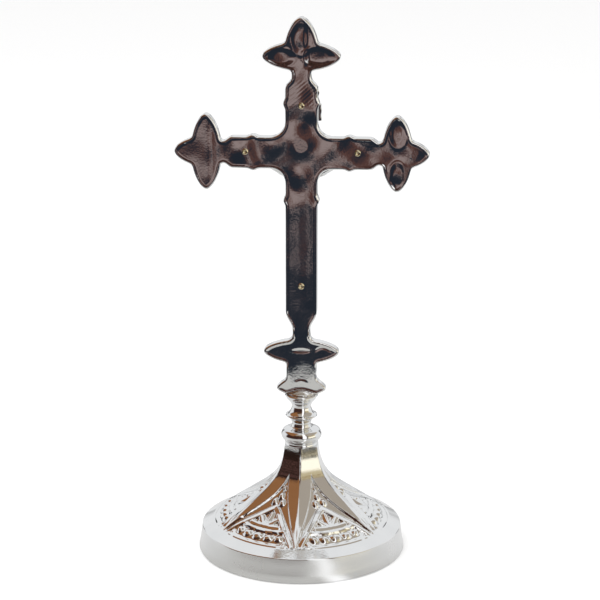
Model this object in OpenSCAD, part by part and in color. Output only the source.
// Standing altar cross: a plated cast cross with a small figure, on a turned stem and a
// six-sided cast foot. Millimetres, +Z up, the figure faces -Y, the arms lie along X.

/* [Overall] */
// Height from the table to the top tip of the cross
total_h = 300; // [250:1:360]
// Diameter of the foot where it meets the table
base_d = 115.2; // [108:0.2:140]

/* [Foot] */
// Height of the foot casting up to the stem
foot_h = 60.4; // [56:0.1:75]
// Corner radius of the six-sided neck at its top
neck_r = 10.6; // [9.8:0.1:13]
// Height of the rounded rim edge above the table
rim_h = 13.5; // [12.5:0.1:16]
// Inward lean of the rim between the table and its upper edge
rim_lean = 1.9; // [0.5:0.1:4]
// Width of the plain sloping band between the rim edge and the ornament
band_w = 6.4; // [4:0.1:8]
// Rise of that band from the rim edge to the ornament
band_rise = 3.3; // [1.5:0.1:4.5]
// Wall of the casting
foot_wall = 2.4; // [1.8:0.1:3]
// Half width of each plain rib beside its crest
rib_half_w = 6.1; // [5.5:0.1:7.6]
// Depth of the ornament panels, measured level
panel_depth = 1.6; // [0.8:0.1:2]

/* [Base] */
// Thickness of the felt pad
felt_t = 1.6; // [1:0.1:2.4]
// Thickness of the steel closing plate
plate_t = 1.0; // [0.8:0.1:1.6]
// How far the felt stands below the metal rim
felt_proud = 0.4; // [0.2:0.1:0.8]

/* [Stem] */
// Height of the knop with the large ring
knop_h = 12; // [10.5:0.1:15]
// Radius of the knop's ring
knop_r = 11.3; // [10:0.1:14]
// Height of the collar with the sharp ring
collar_h = 10; // [8.5:0.1:12.5]
// Radius of the collar's ring
collar_r = 8.9; // [8:0.1:11]
// Height of the cup that carries the cross
cup_h = 7.6; // [6.5:0.1:9.5]
// Radius of the cup's lip
cup_r = 9.3; // [8.5:0.1:12]
// Radius of the two narrow waists of the stem
waist_r = 5.4; // [4.8:0.1:6.5]

/* [Cross] */
// Thickness of the cross casting
cross_t = 6; // [5.6:0.1:7.5]
// Half width of the long shaft
shaft_hw = 8.6; // [7.6:0.1:10.4]
// Half width of the side arms and the upper arm
arm_hw = 8.7; // [7.2:0.1:10.5]
// From the crossing to the top tip
top_reach = 73.5; // [72:0.1:80]
// From the crossing to each side tip
side_reach = 69; // [67:0.1:78]
// Half width of the lozenge low on the shaft
lozenge_hw = 21; // [17:0.1:24]

/* [Fasteners] */
// Diameter of the threaded tie rod
rod_d = 4; // [3:0.1:4.2]
// How far the rod is screwed into the foot of the cross
rod_grip = 9; // [7:0.1:10.5]
// Diameter of the rivet shanks
rivet_d = 2; // [1.6:0.1:2.4]
// Radial clearance of the rod and the rivets in their holes
clearance = 0.15; // [0.1:0.05:0.3]

/* [Figure and scroll] */
// Distance of each hand's rivet from the middle of the cross
hand_x = 30.3; // [28:0.1:31.5]
// Depth of the crossing above the feet's rivet
feet_drop = 74.2; // [72:0.1:78]
// Height of the scroll's rivet above the crossing
scroll_rise = 26; // [24.5:0.1:27.5]
// Width of the scroll
scroll_w = 19.4; // [18:0.1:22]
// How far the scroll sits off the middle of the cross
scroll_shift = 0.8; // [0:0.1:1.5]
// Height of the scroll
scroll_h = 20; // [16:0.5:22]
// Thickness of the scroll
scroll_t = 1.4; // [1:0.1:2]

/* [Hidden] */
round_fn = 96;
small_fn = 48;
soft_fn = 20;
corner_fn = 16;
eps = 0.01;
plan_fn = 32;

// Foot
base_r = base_d / 2;
rim_bottom = felt_proud;
rim_top_r = base_r - rim_lean;
band_top = rim_h + band_rise;
band_in_r = rim_top_r - band_w;
rib_tip_r = band_in_r - 1;
buried_z = rim_h - 2.5;
flat_share = cos(30);
roof_z = foot_h - 10.4;
nut_room_r = 6.5;
skirt_in_r = 0.62 * rib_tip_r;
skirt_slope = 0.49;
skirt_in_z = band_top - 0.3 + (band_in_r - skirt_in_r) * skirt_slope;
plate_z = felt_t;
plate_r = base_r - 4;
plate_gap = 0.2;
felt_r = plate_r - 0.8;
rib_taper_r = 0.52 * rib_tip_r;
panel_rim = 0.8;

// Stem
knop_z = foot_h;
collar_z = knop_z + knop_h;
cup_z = collar_z + collar_h;
crown_r = cup_r - 0.5;
crown_h = 0.7;
boss_h = 2.2;
boss_top_r = waist_r / 2;
cross_z = cup_z + cup_h;
bore_r = rod_d / 2 + clearance;

// Cross
crossing_z = total_h - top_reach;
face_y = -cross_t / 2;
back_y = cross_t / 2;
web_r = 8;
corner_r = 1.6;
neck_web_r = 3.4;
swell_r = 3;
swell_h = 1.2;
side_swell_x = 26;
top_swell_z = 27;
shaft_swell_drop = 26.3;
flare_hw = 13.8;
flare_rise = 3.4;
flare_tip_r = 1.5;
column_hw = 8.3;
lozenge_rise = 24.6;
lozenge_z = cross_z + lozenge_rise;
lozenge_h = 7;
neck_rise = lozenge_rise + 11.9;
neck_hw = 4.8;
shaft_rise = neck_rise + 10.5;
arm_neck_x = 42.2;
arm_neck_hw = 5.9;
arm_end_x = 37.5;
top_neck_z = 40.7;
top_end_z = 35.5;
top_neck_hw = 5.2;
leaf_bluntness = 0.6;
side_lobe = 20.9;
side_lobe_hw = 8.4;
side_leaf_hw = 8.4;
top_lobe = 21.1;
top_lobe_hw = 7.9;
top_leaf_hw = 9.6;
side_leaf_l = 17.5;
top_leaf_l = 21.1;
knot_x = side_reach - side_leaf_l;
top_knot_z = top_reach - top_leaf_l;

// Rivets
shank_r = rivet_d / 2;
rivet_bore_r = shank_r + clearance;
head_r = rivet_d * 0.8;
head_h = rivet_d * 0.45;
tail_r = rivet_d * 0.85;
tail_h = rivet_d * 0.3;
scroll_z = crossing_z + scroll_rise;
feet_z = crossing_z - feet_drop;
hand_z = crossing_z + 0.6;
palm_t = 2.4;
feet_t = 3.9;

// Figure: places are [x, d, z], with d out from the front face and z from the crossing
palm = [hand_x, 1, hand_z - crossing_z];
wrist = [hand_x - 3.8, 1.8, -2.2];
elbow = [18, 3.2, -8.4];
shoulder = [8, 4.6, -14.6];
chest = [5, 4.8, -17];
waist = [0.4, 4.8, -30];
hip = [2.6, 5.2, -40];
knee = [3.6, 8.8, -0.75 * feet_drop];
ankle = [1.1, 3, 4.5 - feet_drop];
instep = [0, 1.9, 1 - feet_drop];
toes = [0.6, 3.8, -feet_drop - 4];
heel = [-0.8, 1.3, -feet_drop - 3.6];
throat = [0, 5.8, -13];
nape = [-1.2, 7.4, -8];
jaw = [-1.6, 7.8, -7.4];
crown = [-1.8, 8.2, -4.6];

// Tie rod, washer and nut
washer_t = 1;
washer_r = 5;
nut_h = 3.2;
nut_r = 4;
rod_tail = 2;

// Colours
plating = "#c9cbce";
brass = "#c8a868";
steel = "#8d9196";
felt_green = "#26402e";

function bezier(p, t) =
    pow(1 - t, 3) * p[0] + 3 * pow(1 - t, 2) * t * p[1] + 3 * (1 - t) * t * t * p[2] + pow(t, 3) * p[3];
function bezier_slope(p, t) =
    3 * pow(1 - t, 2) * (p[1] - p[0]) + 6 * (1 - t) * t * (p[2] - p[1]) + 3 * t * t * (p[3] - p[2]);
function inward(v) = [v[1], -v[0]] / norm(v);

// The rib crests of the foot, from the neck down to the rib tips.
crest = [
    [neck_r, foot_h],
    [neck_r + 2.2, foot_h - 0.54 * (foot_h - band_top)],
    [neck_r + 0.34 * (rib_tip_r - neck_r), foot_h - 0.52 * (foot_h - band_top)],
    [rib_tip_r, band_top + 0.4]
];
crest_steps = 14;
function flank(t) = let (p = bezier(crest, t)) [p[0] * flat_share, p[1]];
function flank_inside(t) =
    let (s = bezier_slope(crest, t)) flank(t) + foot_wall * inward([s[0] * flat_share, s[1]]);

// One slab of the six-sided bell, two flat sides facing +X and -X.
module bell_slab(inset) {
    side = [for (i = [0:crest_steps]) flank(i / crest_steps) - [inset, 0]];
    last = side[crest_steps];
    outline = concat([[-neck_r / 2, foot_h]], side, [[last[0], buried_z], [-neck_r / 2, buried_z]]);
    rotate([90, 0, 0])
        translate([0, 0, -base_r])
            linear_extrude(base_d) {
                polygon(outline);
                mirror([1, 0]) polygon(outline);
            }
}

module bell(inset) {
    intersection() {
        bell_slab(inset);
        rotate([0, 0, 60]) bell_slab(inset);
        rotate([0, 0, 120]) bell_slab(inset);
    }
}

// Plan of one ornament panel between two ribs, opening towards +X.
module panel_plan() {
    half = [rib_taper_r * flat_share + rib_half_w / 2, rib_taper_r / 2 - rib_half_w * flat_share];
    corner = [rib_tip_r * flat_share, rib_tip_r / 2 - panel_rim];
    intersection() {
        polygon([[2 * rib_half_w, 0], half, corner, [base_r, corner[1]],
                 [base_r, -corner[1]], [corner[0], -corner[1]], [half[0], -half[1]]]);
        circle(r = rib_tip_r + 0.4, $fn = round_fn);
    }
}

module foot_casting() {
    rim = [
        [0, rim_bottom],
        [base_r, rim_bottom],
        [rim_top_r + 0.2, rim_h - 0.8],
        [rim_top_r - 0.6, rim_h],
        [band_in_r, band_top - 0.3],
        [skirt_in_r, skirt_in_z],
        [0, skirt_in_z]
    ];
    hollow_bell = concat(
        [[0, roof_z], [nut_room_r, roof_z]],
        [
            for (i = [5:crest_steps])
                let (p = flank_inside(i / crest_steps))
                if (p[1] < roof_z && p[0] > nut_room_r) p
        ],
        [[rib_tip_r * flat_share - foot_wall, rim_bottom - 1], [0, rim_bottom - 1]]
    );
    hollow_skirt = [
        [0, rim_bottom - 1],
        [plate_r - 1.6, rim_bottom - 1],
        [plate_r - 1.6, rim_h - 2],
        [band_in_r, band_top - foot_wall - 0.5],
        [skirt_in_r, skirt_in_z - foot_wall],
        [0, skirt_in_z - foot_wall]
    ];
    color(plating)
        difference() {
            union() {
                rotate_extrude($fn = round_fn) polygon(rim);
                difference() {
                    bell(0);
                    difference() {
                        for (a = [0:60:300])
                            rotate([0, 0, a])
                                translate([0, 0, buried_z + 1])
                                    linear_extrude(foot_h) panel_plan();
                        bell(panel_depth);
                    }
                }
            }
            rotate_extrude($fn = round_fn) polygon(hollow_bell);
            rotate_extrude($fn = round_fn) polygon(hollow_skirt);
            translate([0, 0, -eps])
                cylinder(r = plate_r + plate_gap, h = plate_z + plate_t + eps, $fn = round_fn);
            cylinder(r = bore_r, h = foot_h + 1, $fn = small_fn);
        }
}

// A turned stem piece: its outline in radius and height, bored for the rod.
module turned(outline, z, h) {
    color(plating)
        translate([0, 0, z])
            difference() {
                rotate_extrude($fn = round_fn) polygon(outline);
                translate([0, 0, -1]) cylinder(r = bore_r, h = h + 2, $fn = small_fn);
            }
}

module knop() {
    ring_z = 0.49 * knop_h;
    ring_h = 0.3 * knop_h;
    seat_r = neck_r * flat_share;
    ring = [for (a = [-70:14:70]) [knop_r - ring_h + ring_h * cos(a), ring_z + ring_h * sin(a)]];
    foot = [[0, 0], [seat_r, 0], [seat_r, 0.12 * knop_h]];
    neck = [[waist_r + 0.8, knop_h - 1.6], [waist_r, knop_h - 0.8], [waist_r, knop_h], [0, knop_h]];
    turned(concat(foot, ring, neck), knop_z, knop_h);
}

module collar() {
    ring_z = 0.5 * collar_h;
    edge = 0.4;
    below = [
        [waist_r, 0],
        [waist_r + 0.2, 0.3 * collar_h],
        [collar_r - 1.7, ring_z - 1.1],
        [collar_r - 0.2, ring_z - edge]
    ];
    above = [
        [collar_r - 0.2, ring_z + edge],
        [collar_r - 1.9, ring_z + 1.3],
        [waist_r + 0.3, 0.78 * collar_h],
        [waist_r, collar_h]
    ];
    lower_side = [for (i = [0:6]) bezier(below, i / 6)];
    upper_side = [for (i = [0:6]) bezier(above, i / 6)];
    outline = concat([[0, 0]], lower_side, [[collar_r, ring_z]], upper_side, [[0, collar_h]]);
    turned(outline, collar_z, collar_h);
}

module cup() {
    lip_z = cup_h - crown_h;
    flare = [
        [waist_r, 0.6],
        [waist_r + 0.7, 0.5 * cup_h],
        [cup_r - 1.4, 0.45 * cup_h],
        [cup_r - 0.3, lip_z - 0.3]
    ];
    side = [for (i = [0:6]) bezier(flare, i / 6)];
    lip = [[cup_r, lip_z], [cup_r - 0.3, lip_z + 0.3], [crown_r, cup_h], [0, cup_h]];
    turned(concat([[0, 0], [waist_r, 0]], side, lip), cup_z, cup_h);
}

// Half outline of a blunt-tipped leaf, from its widest place at x0 to its tip at x1.
function leaf_half(x0, x1, half_w, steps = 9) =
    [
        for (i = [0:steps])
            let (u = sin(90 * i / steps))
            [x0 + (x1 - x0) * u, half_w * pow(1 - u * u, leaf_bluntness)]
    ];

// A bar along X, symmetric about the axis, from its half outline of [x, half width] points.
module bar(half) {
    n = len(half) - 1;
    polygon(concat(half, [for (i = [n:-1:0]) [half[i][0], -half[i][1]]]));
}

// Half outline points that ease from one half width to another.
function ease(x0, x1, hw0, hw1, steps = 5) =
    [for (i = [0:steps]) [x0 + (x1 - x0) * i / steps, hw1 + (hw0 - hw1) * (1 + cos(180 * i / steps)) / 2]];

// Two leaves back to back across the X axis at x, a lobe to each side.
module cross_lobes(x, reach, half_w) {
    translate([x, 0])
        rotate([0, 0, 90]) {
            bar(leaf_half(-0.5, reach, half_w));
            mirror([1, 0]) bar(leaf_half(-0.5, reach, half_w));
        }
}

// Small swellings of the border, the same on both edges of a bar.
module swellings(x, hw) {
    for (s = [-1, 1]) translate([x, s * (hw - swell_r + swell_h)]) circle(r = swell_r, $fn = plan_fn);
}

// Side arm pointing to +X from the crossing.
module arm_plan() {
    taper = ease(arm_end_x, arm_neck_x, arm_hw, arm_neck_hw);
    bar(concat([[-1, arm_hw]], taper, [[knot_x, arm_neck_hw]]));
    cross_lobes(knot_x, side_lobe, side_lobe_hw);
    bar(leaf_half(knot_x - 0.5, side_reach, side_leaf_hw));
    swellings(side_swell_x, arm_hw);
}

// Upper arm, drawn pointing to +X.
module top_plan() {
    taper = ease(top_end_z, top_neck_z, arm_hw, top_neck_hw);
    bar(concat([[-1, arm_hw]], taper, [[top_knot_z, top_neck_hw]]));
    cross_lobes(top_knot_z, top_lobe, top_lobe_hw);
    bar(leaf_half(top_knot_z - 0.5, top_reach, top_leaf_hw));
    swellings(top_swell_z, arm_hw);
}

// The shaft below the crossing, drawn pointing to +X from the foot of the cross.
module shaft_plan() {
    flare_tip = [
        for (a = [-60:20:60])
            [flare_rise + flare_tip_r * sin(a), flare_hw - flare_tip_r + flare_tip_r * cos(a)]
    ];
    bar(concat(
        [[0, cup_r - 0.6]],
        flare_tip,
        ease(flare_rise + 1.8, flare_rise + 5.6, flare_hw - 1.7, column_hw),
        [[lozenge_rise - 5.5, column_hw], [lozenge_rise - 5, neck_hw]],
        [[neck_rise, neck_hw]],
        ease(neck_rise + 1, shaft_rise, neck_hw, shaft_hw),
        [[crossing_z - cross_z, shaft_hw]]
    ));
    cross_lobes(lozenge_rise, lozenge_hw, lozenge_h);
    swellings(crossing_z - cross_z - shaft_swell_drop, shaft_hw);
}

// A square block at an inner corner, hollowed to a concave web of radius r.
module web(r) {
    difference() {
        translate([-r, -r]) square(2 * r);
        translate([r, r]) circle(r = r, $fn = plan_fn);
    }
}

module cross_plan() {
    translate([0, crossing_z]) {
        arm_plan();
        mirror([1, 0]) arm_plan();
        rotate([0, 0, 90]) top_plan();
        for (sx = [0, 1], sz = [0, 1])
            mirror([sx, 0]) mirror([0, sz]) translate([arm_hw, arm_hw]) web(web_r);
        // Webs between the neck and the lozenge
        for (sx = [0, 1])
            mirror([sx, 0]) translate([neck_hw, lozenge_z + lozenge_h - 0.9 - crossing_z]) web(neck_web_r);
    }
    translate([0, cross_z]) rotate([0, 0, 90]) shaft_plan();
}

// The plan with its inner corners eased, as on a cast edge.
module eased_plan() {
    offset(r = -corner_r, $fn = corner_fn) offset(r = corner_r, $fn = corner_fn) cross_plan();
}

// A hole through the cross along Y.
module cross_hole(x, z, r) {
    translate([x, back_y + 1, z]) rotate([90, 0, 0]) cylinder(r = r, h = cross_t + 2, $fn = small_fn);
}

module cross_casting() {
    color(plating)
        difference() {
            union() {
                translate([0, back_y, 0]) rotate([90, 0, 0]) linear_extrude(cross_t) eased_plan();
                // Low round boss by which the cross stands on the cup
                translate([0, 0, cross_z])
                    cylinder(r1 = crown_r, r2 = boss_top_r, h = boss_h, $fn = round_fn);
            }
            cross_hole(0, scroll_z, rivet_bore_r);
            cross_hole(0, feet_z, rivet_bore_r);
            for (s = [-1, 1]) cross_hole(s * hand_x, hand_z, rivet_bore_r);
            translate([0, 0, cross_z - 1]) cylinder(r = bore_r, h = rod_grip + 2, $fn = small_fn);
        }
}

// Places a point of the figure: x and z from the crossing, d out from the front face.
function on_front(p) = [p[0], face_y - p[1], crossing_z + p[2]];

module ball(p, r) {
    translate(on_front(p)) sphere(r = r, $fn = soft_fn);
}

module limb(p, rp, q, rq) {
    hull() {
        ball(p, rp);
        ball(q, rq);
    }
}

module mirrored_limb(p, rp, q, rq) {
    for (s = [-1, 1]) limb([s * p[0], p[1], p[2]], rp, [s * q[0], q[1], q[2]], rq);
}

// Room for a nail through the figure: a bore for the shank, and a seat for the head at depth t.
module nail_room(x, z, t) {
    translate([x, face_y + 1, z])
        rotate([90, 0, 0]) cylinder(r = rivet_bore_r, h = t + 1, $fn = small_fn);
    translate([x, face_y - t, z])
        rotate([90, 0, 0]) cylinder(r = head_r + clearance, h = 6, $fn = small_fn);
}

module corpus() {
    color(plating)
        difference() {
            union() {
                mirrored_limb(palm, 1.35, wrist, 1.3);
                mirrored_limb(wrist, 1.4, elbow, 1.8);
                mirrored_limb(elbow, 1.8, shoulder, 2.6);
                for (s = [-1, 1]) {
                    bent = [s * (knee[0] - 1) + 1, knee[1], knee[2]];
                    thigh = [s * (hip[0] + 0.6), hip[1] + 0.4, hip[2] + 1];
                    shin = [bent[0] - s * 0.2, bent[1] - 0.4, bent[2]];
                    limb(thigh, 3.8, bent, 2.9);
                    limb(shin, 2.6, [s * ankle[0], ankle[1], ankle[2]], 1.8);
                }
                hull() {
                    for (s = [-1, 1]) ball([s * chest[0], chest[1], chest[2]], 4);
                    ball(waist, 4.6);
                }
                hull() {
                    ball(waist, 4.4);
                    for (s = [-1, 1]) ball([s * hip[0], hip[1], hip[2]], 4.6);
                }
                limb(throat, 2.2, nape, 2.2);
                limb(jaw, 3.4, crown, 3.6);
                hull() {
                    ball(instep, 2.2);
                    ball(toes, 1.6);
                    ball(heel, 1.5);
                }
            }
            // Flat back against the cross
            translate([-50, face_y, crossing_z - 2 * feet_drop]) cube([100, 20, 3 * feet_drop]);
            for (s = [-1, 1]) nail_room(s * hand_x, hand_z, palm_t);
            nail_room(0, feet_z, feet_t);
        }
}

module titulus_scroll() {
    hw = scroll_w / 2;
    hh = scroll_h / 2;
    curl = 2;
    step_in = 1.4;
    half_outline = [
        [hw, 0],
        [hw, hh - curl],
        [hw - curl, hh],
        [step_in + curl - hw, hh],
        [step_in - hw, hh - step_in],
        [step_in - hw, curl],
        [-hw, 0]
    ];
    color(plating)
        translate([0, face_y, scroll_z])
            rotate([90, 0, 0])
                difference() {
                    translate([-scroll_shift, 0, 0])
                        linear_extrude(scroll_t)
                            for (turn = [0, 180]) rotate([0, 0, turn]) polygon(half_outline);
                    translate([0, 0, -1]) cylinder(r = rivet_bore_r, h = scroll_t + 2, $fn = small_fn);
                }
}

// A rivet along Y: a domed head in front, a dimpled peened end behind the cross.
module rivet(x, z, grip) {
    front = face_y - grip;
    len = back_y - front;
    tail = [
        [0, -0.3 * tail_h],
        [0.35 * tail_r, -tail_h],
        [0.75 * tail_r, -tail_h],
        [tail_r, -0.5 * tail_h],
        [tail_r, 0]
    ];
    head = [
        [head_r, len],
        [head_r, len + 0.4 * head_h],
        [0.6 * head_r, len + 0.9 * head_h],
        [0, len + head_h]
    ];
    color(brass)
        translate([x, back_y, z])
            rotate([90, 0, 0])
                rotate_extrude($fn = small_fn)
                    polygon(concat(tail, [[shank_r, 0], [shank_r, len]], head));
}

module hand_rivets() {
    for (s = [-1, 1]) rivet(s * hand_x, hand_z, palm_t);
}

module feet_rivet() {
    rivet(0, feet_z, feet_t);
}

module titulus_rivet() {
    rivet(0, scroll_z, scroll_t);
}

module tie_rod() {
    bottom = roof_z - washer_t - nut_h - rod_tail;
    color(steel)
        translate([0, 0, bottom]) cylinder(d = rod_d, h = cross_z + rod_grip - bottom, $fn = small_fn);
}

module foot_washer() {
    color(steel)
        translate([0, 0, roof_z - washer_t])
            difference() {
                cylinder(r = washer_r, h = washer_t, $fn = small_fn);
                translate([0, 0, -1]) cylinder(r = bore_r, h = washer_t + 2, $fn = small_fn);
            }
}

module foot_nut() {
    color(steel)
        translate([0, 0, roof_z - washer_t - nut_h])
            difference() {
                cylinder(r = nut_r, h = nut_h, $fn = 6);
                translate([0, 0, -1]) cylinder(r = bore_r, h = nut_h + 2, $fn = small_fn);
            }
}

module closing_plate() {
    color(steel)
        translate([0, 0, plate_z]) cylinder(r = plate_r, h = plate_t, $fn = round_fn);
}

module felt_pad() {
    color(felt_green) cylinder(r = felt_r, h = felt_t, $fn = round_fn);
}

foot_casting();
knop();
collar();
cup();
cross_casting();
corpus();
titulus_scroll();
hand_rivets();
feet_rivet();
titulus_rivet();
tie_rod();
foot_washer();
foot_nut();
closing_plate();
felt_pad();
